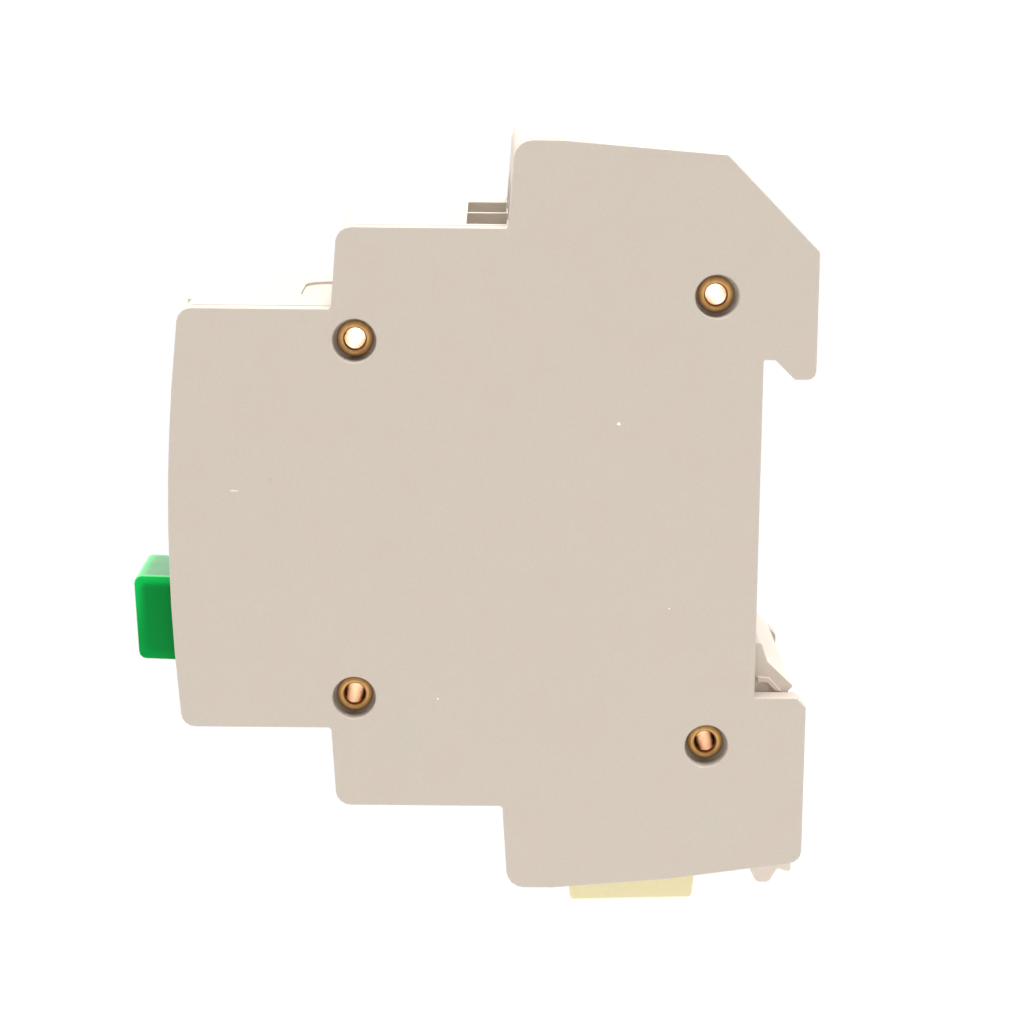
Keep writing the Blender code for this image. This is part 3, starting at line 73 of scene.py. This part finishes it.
class Shader:
    """A material's node tree, with short calls for what the materials here share."""

    def __init__(self, name):
        self.material = bpy.data.materials.new(name)
        self.material.use_nodes = True
        self.tree = self.material.node_tree
        self.surface = self.tree.nodes["Principled BSDF"]
        self.place = self.add("ShaderNodeTexCoord").outputs["Object"]

    def add(self, kind, settings=None, **inputs):
        """A node with these settings and these socket values or links."""
        node = self.tree.nodes.new(kind)
        for key, value in (settings or {}).items():
            setattr(node, key, value)
        for key, value in inputs.items():
            self.feed(node.inputs[key.replace("_", " ")], value)
        return node

    def feed(self, socket, value):
        """Links a socket to another, or sets its value."""
        if isinstance(value, bpy.types.NodeSocket):
            self.tree.links.new(value, socket)
        else:
            socket.default_value = value

    def noise(self, scale, detail=3.0, rough=0.5, stretch=(1, 1, 1), shift=0.0):
        """Noise from 0 to 1, scale in cycles a metre."""
        mapping = self.add("ShaderNodeMapping", Vector=self.place)
        mapping.inputs["Scale"].default_value = stretch
        mapping.inputs["Location"].default_value = (shift, shift, shift)
        node = self.add("ShaderNodeTexNoise", Vector=mapping.outputs["Vector"], Scale=scale, Detail=detail)
        node.inputs["Roughness"].default_value = rough
        return node.outputs["Fac"]

    def ramp(self, value, *stops):
        """A colour ramp through (position, colour or grey) stops."""
        node = self.add("ShaderNodeValToRGB", Fac=value)
        elements = node.color_ramp.elements
        while len(elements) < len(stops):
            elements.new(0.5)
        for element, (position, colour) in zip(elements, stops):
            element.position = position
            grey = not isinstance(colour, tuple)
            element.color = (colour, colour, colour, 1) if grey else (*colour, 1)
        return node.outputs["Color"]

    def mix(self, factor, first, second):
        """Two colours mixed."""
        node = self.add("ShaderNodeMix", {"data_type": "RGBA"})
        self.feed(node.inputs["Factor"], factor)
        for socket, value in ((node.inputs[6], first), (node.inputs[7], second)):
            self.feed(socket, (*value, 1) if isinstance(value, tuple) else value)
        return node.outputs[2]

    def maths(self, operation, first, second=0.0):
        """One arithmetic step."""
        node = self.add("ShaderNodeMath", {"operation": operation})
        self.feed(node.inputs[0], first)
        self.feed(node.inputs[1], second)
        return node.outputs[0]

    def edges(self, radius, low=0.02, high=0.25):
        """How near a sharp edge a point is: 0 on the flat, 1 on the edge."""
        bevel = self.add("ShaderNodeBevel", {"samples": EDGE_SAMPLES}, Radius=radius)
        true = self.add("ShaderNodeNewGeometry").outputs["Normal"]
        turned = self.add("ShaderNodeVectorMath", {"operation": "DOT_PRODUCT"})
        self.feed(turned.inputs[0], bevel.outputs["Normal"])
        self.feed(turned.inputs[1], true)
        away = self.maths("SUBTRACT", 1.0, turned.outputs["Value"])
        node = self.add("ShaderNodeMapRange", Value=away, From_Min=low, From_Max=high)
        return node.outputs["Result"]

    def spot(self, centre, size, stretch):
        """A ragged spot at a point: 1 inside it, 0 away from it."""
        mapping = self.add("ShaderNodeMapping", {"vector_type": "POINT"}, Vector=self.place)
        mapping.inputs["Location"].default_value = [-c * s for c, s in zip(centre, stretch)]
        mapping.inputs["Scale"].default_value = stretch
        length = self.add("ShaderNodeVectorMath", {"operation": "LENGTH"})
        self.feed(length.inputs[0], mapping.outputs["Vector"])
        ragged = self.maths("MULTIPLY_ADD", self.noise(SPOT_GRAIN, 2.0), size * 1.2)
        self.feed(ragged.node.inputs[2], length.outputs["Value"])
        return self.ramp(self.maths("DIVIDE", ragged, size * 2.2), (0.6, 1.0), (0.85, 0.0))

    def radius(self):
        """The distance from the piece's own Z axis, as a share of RAMP_RADIUS."""
        parts = self.add("ShaderNodeSeparateXYZ", Vector=self.place)
        across = self.maths("POWER", parts.outputs["X"], 2.0)
        upward = self.maths("POWER", parts.outputs["Y"], 2.0)
        distance = self.maths("SQRT", self.maths("ADD", across, upward))
        return self.maths("DIVIDE", distance, RAMP_RADIUS)

    def bump(self, height, distance, strength=1.0, onto=None):
        """A bump, in metres, on top of another if given."""
        node = self.add("ShaderNodeBump", Height=height, Distance=distance, Strength=strength)
        if onto is not None:
            self.feed(node.inputs["Normal"], onto)
        return node.outputs["Normal"]

    def finish(self, colour, roughness, normal=None, **sockets):
        """Sets the surface's sockets and gives back the material."""
        self.feed(self.surface.inputs["Base Color"], (*colour, 1) if isinstance(colour, tuple) else colour)
        self.feed(self.surface.inputs["Roughness"], roughness)
        if normal is not None:
            self.feed(self.surface.inputs["Normal"], normal)
        for key, value in sockets.items():
            self.feed(self.surface.inputs[key.replace("_", " ")], value)
        return self.material


def tint(colour, factor):
    """A colour made lighter or darker."""
    return tuple(min(1.0, channel * factor) for channel in colour)


# ---------------------------------------------------------------- materials

# Grain in cycles a metre, and heights of the surfaces' grain and waves in metres
MOULD_GRAIN = 2600.0
MOULD_DEPTH = 0.000012
SINK_DEPTH = 0.00008
GLOSS_WAVE_DEPTH = 0.00003
GLOSS_GRAIN_DEPTH = 0.000004
METAL_GRAIN = 1500.0
METAL_DEPTH = 0.000006
BRASS_DEPTH = 0.000008
DRAW_LINE_DEPTH = 0.0000008
TRACK_DEPTH = 0.00004
WEAVE_DEPTH = 0.00001
# How far from a sharp edge each kind of surface is worn, in metres; for glossy plastic and the toggle, the
# width of the painted edge highlight
WORN_PLASTIC = 0.00035
GLOSS_SHEEN_WIDTH = 0.0004
WORN_METAL = 0.00025
TOGGLE_SHEEN_WIDTH = 0.0016
# The toggle's painted edge highlight gains strength between these heights of the frame, in metres, lighter
# towards the top as light from above falls
SHEEN_LOW = -0.0132
SHEEN_HIGH = -0.0058


def moulded_plastic(name, colour, roughness, worn=1.12, specular=0.35, marks=()):
    """Moulded plastic: a fine satin grain, cloudy shade, sink marks, dust specks and lighter worn edges."""
    shader = Shader(name)
    cloud = shader.noise(38.0, 4.0)
    base = shader.ramp(cloud, (0.3, tint(colour, 0.985)), (0.7, tint(colour, 1.015)))
    warm = (colour[0] * 1.015, colour[1] * 0.985, colour[2])
    cool = (colour[0] * 0.99, colour[1] * 1.01, colour[2] * 0.985)
    blotch = shader.ramp(shader.noise(210.0, 3.0, shift=0.13), (0.35, warm), (0.65, cool))
    base = shader.mix(0.75, base, blotch)
    fleck = shader.noise(3400.0, 2.0, 0.6, shift=0.3)
    base = shader.mix(shader.ramp(fleck, (0.35, 0.22), (0.65, 0.0)), base, tint(colour, 0.84))
    light = shader.noise(2900.0, 2.0, 0.6, shift=0.7)
    base = shader.mix(shader.ramp(light, (0.62, 0.0), (0.8, 0.22)), base, tint(colour, 1.12))
    base = shader.mix(shader.maths("MULTIPLY", shader.edges(WORN_PLASTIC), 0.5), base, tint(colour, worn))
    for place, size, stretch, shade in marks:
        base = shader.mix(shader.spot(place, size, stretch), base, shade)
    fine = shader.noise(MOULD_GRAIN, 3.0, 0.6)
    coarse = shader.noise(60.0, 2.0)
    normal = shader.bump(coarse, SINK_DEPTH, 0.25)
    normal = shader.bump(fine, MOULD_DEPTH, 0.7, normal)
    uneven = shader.maths("MULTIPLY_ADD", shader.noise(120.0, 3.0), 0.16)
    uneven.node.inputs[2].default_value = roughness - 0.08
    return shader.finish(base, uneven, normal, Specular_IOR_Level=specular)


def gloss_plastic(name, colour, roughness, sheen_width=GLOSS_SHEEN_WIDTH, sheen_tint=1.5):
    """Glossy moulded plastic with hairline scratches and a painted highlight along its edges, stronger
    towards the top.
    """
    shader = Shader(name)
    base = shader.ramp(shader.noise(55.0, 3.0), (0.3, tint(colour, 0.93)), (0.7, tint(colour, 1.07)))
    scratch = shader.noise(900.0, 2.0, 0.5, stretch=(1.0, 0.12, 1.6))
    lines = shader.ramp(scratch, (0.69, 0.0), (0.74, 1.0))
    pale = tuple(0.55 * channel + 0.15 for channel in colour)
    base = shader.mix(shader.maths("MULTIPLY", lines, 0.08), base, pale)
    # Painted highlight: a lighter band along sharp edges, stronger towards the top, as light from above
    # would give it
    edge = shader.edges(sheen_width, 0.0005, 0.008)
    height = shader.add("ShaderNodeSeparateXYZ", Vector=shader.place).outputs["Z"]
    sheen_by_height = shader.add("ShaderNodeMapRange", Value=height, From_Min=SHEEN_LOW, From_Max=SHEEN_HIGH, To_Min=0.2)
    edge = shader.maths("MULTIPLY", edge, sheen_by_height.outputs["Result"])
    base = shader.mix(edge, base, tint(colour, sheen_tint))
    normal = shader.bump(shader.noise(260.0, 2.0), GLOSS_WAVE_DEPTH, 0.2)
    normal = shader.bump(shader.noise(3000.0, 2.0), GLOSS_GRAIN_DEPTH, 0.5, normal)
    smear = shader.maths("MULTIPLY_ADD", shader.noise(140.0, 3.0), 0.2)
    smear.node.inputs[2].default_value = roughness - 0.1
    return shader.finish(base, smear, normal, Specular_IOR_Level=0.17)


def metal(name, colour, roughness, stain, brush=(1, 1, 1)):
    """Worked metal: brushed grain, tarnish in patches and brighter edges."""
    shader = Shader(name)
    patch = shader.noise(420.0, 4.0, 0.6)
    base = shader.mix(shader.ramp(patch, (0.42, 0.0), (0.68, 0.65)), colour, stain)
    bright = shader.edges(WORN_METAL, 0.02, 0.3)
    base = shader.mix(shader.maths("MULTIPLY", bright, 0.5), base, tint(colour, 1.3))
    lines = shader.noise(METAL_GRAIN, 3.0, 0.6, stretch=brush)
    normal = shader.bump(lines, METAL_DEPTH, 0.8)
    rough = shader.maths("MULTIPLY_ADD", shader.noise(700.0, 3.0), 0.25)
    rough.node.inputs[2].default_value = roughness - 0.12
    return shader.finish(base, rough, normal, Metallic=1.0)


def circuit_material(name, colour):
    """Board lacquer with copper tracks showing through as a lighter green weave."""
    shader = Shader(name)
    turned = shader.add("ShaderNodeMapping", Vector=shader.place)
    turned.inputs["Rotation"].default_value = (0, radians(90), 0)
    brick = shader.add("ShaderNodeTexBrick", {"offset": 0.37}, Vector=turned.outputs["Vector"], Scale=330.0)
    brick.inputs["Mortar Size"].default_value = 0.06
    tracks = shader.ramp(brick.outputs["Fac"], (0.2, 0.0), (0.6, 1.0))
    base = shader.mix(tracks, colour, tint(colour, 2.0))
    weave = shader.noise(2500.0, 2.0, stretch=(1, 3, 0.4))
    normal = shader.bump(tracks, TRACK_DEPTH, 0.5, shader.bump(weave, WEAVE_DEPTH, 0.5))
    return shader.finish(base, 0.35, normal)


def rolled_brass(name):
    """The rivets' brass: painted highlight rings on the rolled crest, darker towards the rim and dark
    red-brown in the lip.
    """
    shader = Shader(name)
    # Painted highlight: bright rings on the crest of the rolled end, set by distance from the axis
    colour = shader.ramp(
        shader.radius(),
        (0.56, (0.42, 0.09, 0.006)),
        (0.615, (0.50, 0.14, 0.02)),
        (0.64, (0.95, 0.62, 0.25)),
        (0.67, (0.80, 0.44, 0.13)),
        (0.72, (1.00, 0.68, 0.28)),
        (0.80, (0.78, 0.44, 0.15)),
        (0.96, (0.46, 0.25, 0.10)),
    )
    patch = shader.ramp(shader.noise(900.0, 4.0, 0.6), (0.40, 0.0), (0.66, 0.5))
    colour = shader.mix(patch, colour, (0.42, 0.19, 0.05))
    normal = shader.bump(shader.noise(1700.0, 3.0, 0.6), BRASS_DEPTH, 0.7)
    rough = shader.maths("MULTIPLY_ADD", shader.noise(1400.0, 3.0), 0.2)
    rough.node.inputs[2].default_value = 0.3
    return shader.finish(colour, rough, normal, Metallic=0.35)


def drawn_bore(name):
    """The inside of the rivets' drawn tube: smooth and coppery, with fine draw lines along it."""
    shader = Shader(name)
    lines = shader.noise(2600.0, 2.0, 0.5, stretch=(1, 1, 0.05))
    colour = shader.ramp(lines, (0.35, (0.86, 0.64, 0.48)), (0.65, (0.90, 0.72, 0.58)))
    normal = shader.bump(lines, DRAW_LINE_DEPTH, 0.3)
    rough = shader.ramp(shader.noise(300.0, 2.0), (0.3, 0.21), (0.7, 0.25))
    return shader.finish(colour, rough, normal, Metallic=1.0)


CASING = (0.498, 0.437, 0.372)
GREEN = (0.0015, 0.220, 0.036)
SIDE = cad_box[1][0]

# Small marks on the right-hand plate: place, size, stretch and colour
PLATE_MARKS = (
    ((SIDE, -0.0150, 0.0107), 0.00015, (1, 1, 1), (1.0, 0.98, 0.95)),
    ((SIDE, -0.0554, 0.0032), 0.00009, (1, 0.22, 1), (0.72, 0.65, 0.57)),
    ((SIDE, -0.0516, 0.0044), 0.00010, (1, 0.7, 1), (0.42, 0.34, 0.27)),
    ((SIDE, -0.0127, -0.0024), 0.00008, (1, 1, 1), (0.45, 0.38, 0.30)),
    ((SIDE, -0.0397, 0.0101), 0.00007, (1, 1, 1), (0.48, 0.41, 0.33)),
    ((SIDE, -0.0338, -0.0192), 0.00009, (1, 1, 1), (0.92, 0.87, 0.80)),
    ((SIDE, -0.0093, -0.0091), 0.00007, (1, 1, 1), (0.92, 0.87, 0.80)),
)

MATERIALS = {
    "casing": moulded_plastic("casing", CASING, 0.5, marks=PLATE_MARKS),
    "clip_plastic": moulded_plastic("clip_plastic", (0.66, 0.58, 0.50), 0.5),
    "white_plastic": moulded_plastic("white_plastic", (0.78, 0.77, 0.72), 0.42),
    "pale_yellow_plastic": moulded_plastic("pale_yellow_plastic", (0.73, 0.66, 0.39), 0.45, specular=0.4),
    "dark_plastic": moulded_plastic("dark_plastic", (0.035, 0.036, 0.040), 0.4, worn=1.8),
    # Painted highlight along the toggle's edges, in a wide band up to 2.5 times lighter
    "green_plastic": gloss_plastic("green_plastic", GREEN, 0.24, TOGGLE_SHEEN_WIDTH, 2.5),
    "dark_sleeve": gloss_plastic("dark_sleeve", (0.03, 0.03, 0.035), 0.4),
    "blue_sleeve": gloss_plastic("blue_sleeve", (0.02, 0.09, 0.35), 0.4),
    "rivet_brass": rolled_brass("rivet_brass"),
    "rivet_bore": drawn_bore("rivet_bore"),
    "strip_brass": metal("strip_brass", (0.72, 0.41, 0.12), 0.34, (0.35, 0.15, 0.03), (1, 1, 0.3)),
    "zinc_steel": metal("zinc_steel", (0.62, 0.62, 0.60), 0.36, (0.45, 0.43, 0.38), (0.3, 1, 1)),
    "spring_steel": metal("spring_steel", (0.40, 0.40, 0.42), 0.3, (0.22, 0.21, 0.20)),
    "copper": metal("copper", (0.74, 0.36, 0.20), 0.32, (0.42, 0.18, 0.09), (1, 1, 0.2)),
    "silver": metal("silver", (0.82, 0.80, 0.76), 0.25, (0.45, 0.42, 0.38)),
    "board_green": circuit_material("board_green", (0.02, 0.16, 0.06)),
}


# ---------------------------------------------------------------- pieces from the frame

# Welding distances in metres, and angles in degrees
WELD = 2e-6
MERGE = 1e-7
FLAT_ANGLE = 0.6
SMOOTH_ANGLE = 50.0
BORE_SMOOTH_ANGLE = 40.0
ALL_ROUND = 180.0
EDGE_ANGLE = 32.0
EDGE_SEGMENTS = 3
# How far each piece's sharp edges are rounded, in metres
SOFT_EDGES = {
    "housing_body": 0.00008,
    "toggle": 0.00010,
    "rail_clip": 0.00012,
    "entry_plug_right": 0.00015,
    "entry_plug_left": 0.00015,
    "test_button": 0.00012,
    "label_plate": 0.00008,
}
# The rivets, in millimetres: radii from the axis, and heights from the breaker's middle plane
RIVET_TUBE = 1.55
RIVET_RIM = 1.92
RIVET_FLOOR = 15.84
RIVET_CREST = 16.26
RIVET_CREST_RADIUS = 1.42
RIVET_BORE = 1.10
RIVET_LIP_DEPTH = 0.6
RIM_STEPS = 12
LIP_STEPS = 10
BORE_SKIN_IN = 0.005
BORE_SKIN_OUT = 0.05
BORE_SKIN_END = 0.02
TURN_STEPS = 64
BORES = bpy.data.collections.new("bores")


def welded_copy(node):
    """A piece with the node's own shape, its facets joined into clean faces."""
    piece = bpy.data.objects.new(node + "_look", NODES[node].data.copy())
    bpy.context.scene.collection.objects.link(piece)
    work = bmesh.new()
    work.from_mesh(piece.data)
    bmesh.ops.remove_doubles(work, verts=work.verts, dist=WELD)
    bmesh.ops.dissolve_limit(
        work,
        angle_limit=radians(FLAT_ANGLE),
        verts=work.verts,
        edges=work.edges,
        use_dissolve_boundaries=False,
    )
    work.to_mesh(piece.data)
    work.free()
    return piece


def dress(piece, node, smooth=SMOOTH_ANGLE, finish=None, stands_for=True):
    """Gives a piece its node's slot, body and material, and shades its rounds smooth."""
    slot = SLOT_OF[node]
    piece.data.materials.clear()
    piece.data.materials.append(MATERIALS[finish or slot])
    piece.data.shade_smooth()
    piece.data.set_sharp_from_angle(angle=radians(smooth))
    if node in SOFT_EDGES:
        soften(piece, SOFT_EDGES[node])
    weights = piece.modifiers.new("flat_faces", "WEIGHTED_NORMAL")
    weights.keep_sharp = True
    if stands_for:
        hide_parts(node)
    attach(piece, BODY_OF[node])


def soften(piece, width):
    """Rounds a piece's sharp edges a little, as a mould or a press leaves them."""
    bevel = piece.modifiers.new("soft_edges", "BEVEL")
    bevel.width = width
    bevel.segments = EDGE_SEGMENTS
    bevel.limit_method = "ANGLE"
    bevel.angle_limit = radians(EDGE_ANGLE)
    bevel.miter_outer = "MITER_ARC"


def turned_piece(name, profile, place):
    """A turned shape along X through a point: (radius, height) points in millimetres, swept by Screw."""
    mesh = bpy.data.meshes.new(name)
    points = [(radius * MM, 0, height * MM) for radius, height in profile]
    edges = [(index, (index + 1) % len(points)) for index in range(len(points))]
    mesh.from_pydata(points, edges, [])
    piece = bpy.data.objects.new(name, mesh)
    bpy.context.scene.collection.objects.link(piece)
    screw = piece.modifiers.new("turn", "SCREW")
    screw.steps = TURN_STEPS
    screw.render_steps = TURN_STEPS
    screw.use_merge_vertices = True
    screw.merge_threshold = MERGE
    graph = bpy.context.evaluated_depsgraph_get()
    piece.data = bpy.data.meshes.new_from_object(piece.evaluated_get(graph))
    piece.modifiers.clear()
    work = bmesh.new()
    work.from_mesh(piece.data)
    bmesh.ops.recalc_face_normals(work, faces=work.faces)
    work.to_mesh(piece.data)
    work.free()
    piece.matrix_world = Matrix.Translation(place) @ Matrix.Rotation(pi / 2, 4, "Y")
    return piece


def centre_of(node):
    """The middle of a frame node's box, in metres."""
    corners = [NODES[node].matrix_world @ Vector(corner) for corner in NODES[node].bound_box]
    return sum(corners, Vector()) / len(corners)


def rolled_end():
    """The section of a rivet's rolled end, from its tube over the crest into the bore."""
    section = [(RIVET_TUBE, RIVET_FLOOR), (RIVET_RIM, RIVET_FLOOR)]
    for step in range(1, RIM_STEPS + 1):
        angle = pi / 2 * step / RIM_STEPS
        reach = RIVET_CREST_RADIUS + (RIVET_RIM - RIVET_CREST_RADIUS) * cos(angle)
        section.append((reach, RIVET_FLOOR + (RIVET_CREST - RIVET_FLOOR) * sin(angle)))
    for step in range(1, LIP_STEPS + 1):
        angle = pi / 2 * step / LIP_STEPS
        reach = RIVET_CREST_RADIUS - (RIVET_CREST_RADIUS - RIVET_BORE) * sin(angle)
        section.append((reach, RIVET_CREST - RIVET_LIP_DEPTH * (1 - cos(angle))))
    return section


def make_rivet(node):
    """A hollow rivet, rolled over at each end into a wide flange, darker towards its rim, with painted
    highlight rings on its crest.
    """
    near_end = rolled_end()
    far_end = [(radius, -height) for radius, height in near_end]
    place = centre_of(node)
    rivet = turned_piece(node + "_look", [*reversed(near_end), *far_end], place)
    dress(rivet, node, ALL_ROUND)
    inside = RIVET_BORE - BORE_SKIN_IN
    outside = RIVET_BORE + BORE_SKIN_OUT
    end = RIVET_CREST - RIVET_LIP_DEPTH - BORE_SKIN_END
    skin = [(inside, end), (outside, end), (outside, -end), (inside, -end)]
    bore = turned_piece(node + "_bore_look", skin, place)
    dress(bore, node, BORE_SMOOTH_ANGLE, "rivet_bore", stands_for=False)
    BORES.objects.link(bore)


def make_pieces():
    """A finished piece for each node of the frame."""
    for node in sorted(NODES):
        if node.startswith("rivet_"):
            make_rivet(node)
        elif node == "test_contact":
            dress(welded_copy(node), node, finish="strip_brass")
        else:
            dress(welded_copy(node), node)


# ---------------------------------------------------------------- stage, lights and camera

FLOOR_SIZE = 30.0
FLOOR_HEIGHT = -0.9
# The room's brightness from far behind the breaker (0) to straight behind the camera (1)
ROOM_TOP = 1.5
ROOM = ((0.0, 1.0), (0.5, 0.9), (0.62, 0.5), (0.84, 0.42), (0.91, 0.05), (1.0, 0.04))
# Round soft lights aimed at the origin: name, place and size in metres, and power in watts
LIGHTS = (
    ("top", (0.12, 0.0, 0.88), 0.5, 12.0),
    ("fill", (0.35, 0.0, -0.45), 0.5, 1.2),
    ("left", (0.42, -0.60, 0.05), 0.5, 1.3),
    ("right", (0.42, 0.60, 0.05), 0.5, 1.3),
)
BORE_LIGHT = ("back", (-0.80, 0.0, -0.08), 0.55, 2.0)
# The camera: place and clipping in metres, turn in degrees, focal length in pixels of a square frame
CAMERA_PLACE = (0.31269, -0.02866, 0.05905)
CAMERA_TURN = (78.893, -0.620, 89.625)
FOCAL_PX = 2848.2
FRAME_PX = 1024.0
SENSOR_MM = 36.0
CLIP_START = 0.01


def make_floor():
    """A plain pale floor, far enough below the breaker to take no shadow from it."""
    bpy.ops.mesh.primitive_plane_add(size=FLOOR_SIZE, location=(0, 0, FLOOR_HEIGHT))
    floor = bpy.context.object
    floor.name = "floor"
    floor.visible_glossy = False
    shader = Shader("floor")
    pale = shader.ramp(shader.noise(3.0), (0.3, 0.93), (0.7, 0.95))
    floor.data.materials.append(shader.finish(pale, 0.9))


def area_light(name, place, size, power):
    """A round soft light aimed at the origin."""
    data = bpy.data.lights.new(name, "AREA")
    data.shape = "DISK"
    data.size = size
    data.energy = power
    light = bpy.data.objects.new(name, data)
    light.location = place
    light.rotation_euler = (-Vector(place)).to_track_quat("-Z", "Y").to_euler()
    bpy.context.scene.collection.objects.link(light)
    return light


def make_world():
    """A white room, brightest behind the breaker and dim where the camera stands."""
    world = bpy.data.worlds.new("studio")
    world.use_nodes = True
    tree = world.node_tree
    background = tree.nodes["Background"]
    background.inputs["Color"].default_value = (1.0, 1.0, 1.0, 1)
    place = tree.nodes.new("ShaderNodeTexCoord").outputs["Generated"]
    parts = tree.nodes.new("ShaderNodeSeparateXYZ")
    tree.links.new(place, parts.inputs["Vector"])
    facing = tree.nodes.new("ShaderNodeMapRange")
    facing.inputs["From Min"].default_value = -1.0
    tree.links.new(parts.outputs["X"], facing.inputs["Value"])
    ramp = tree.nodes.new("ShaderNodeValToRGB")
    tree.links.new(facing.outputs["Result"], ramp.inputs["Fac"])
    elements = ramp.color_ramp.elements
    while len(elements) < len(ROOM):
        elements.new(0.5)
    for element, (position, level) in zip(elements, ROOM):
        element.position = position
        element.color = (level, level, level, 1)
    power = tree.nodes.new("ShaderNodeMath")
    power.operation = "MULTIPLY"
    power.inputs[1].default_value = ROOM_TOP
    tree.links.new(ramp.outputs["Color"], power.inputs[0])
    tree.links.new(power.outputs["Value"], background.inputs["Strength"])
    bpy.context.scene.world = world


def make_lights():
    """Soft lights overhead and around the camera's side, and one that shines only through the rivets."""
    for light in LIGHTS:
        area_light(*light)
    back = area_light(*BORE_LIGHT)
    back.light_linking.receiver_collection = BORES


def make_camera():
    """The camera that looks at the breaker's right side from slightly above."""
    data = bpy.data.cameras.new("camera")
    data.sensor_width = SENSOR_MM
    data.lens = FOCAL_PX / FRAME_PX * SENSOR_MM
    data.clip_start = CLIP_START
    camera = bpy.data.objects.new("camera", data)
    camera.location = CAMERA_PLACE
    camera.rotation_euler = [radians(angle) for angle in CAMERA_TURN]
    bpy.context.scene.collection.objects.link(camera)
    bpy.context.scene.camera = camera


make_pieces()
make_floor()
make_world()
make_lights()
make_camera()

bpy.context.scene.view_settings.view_transform = "Standard"
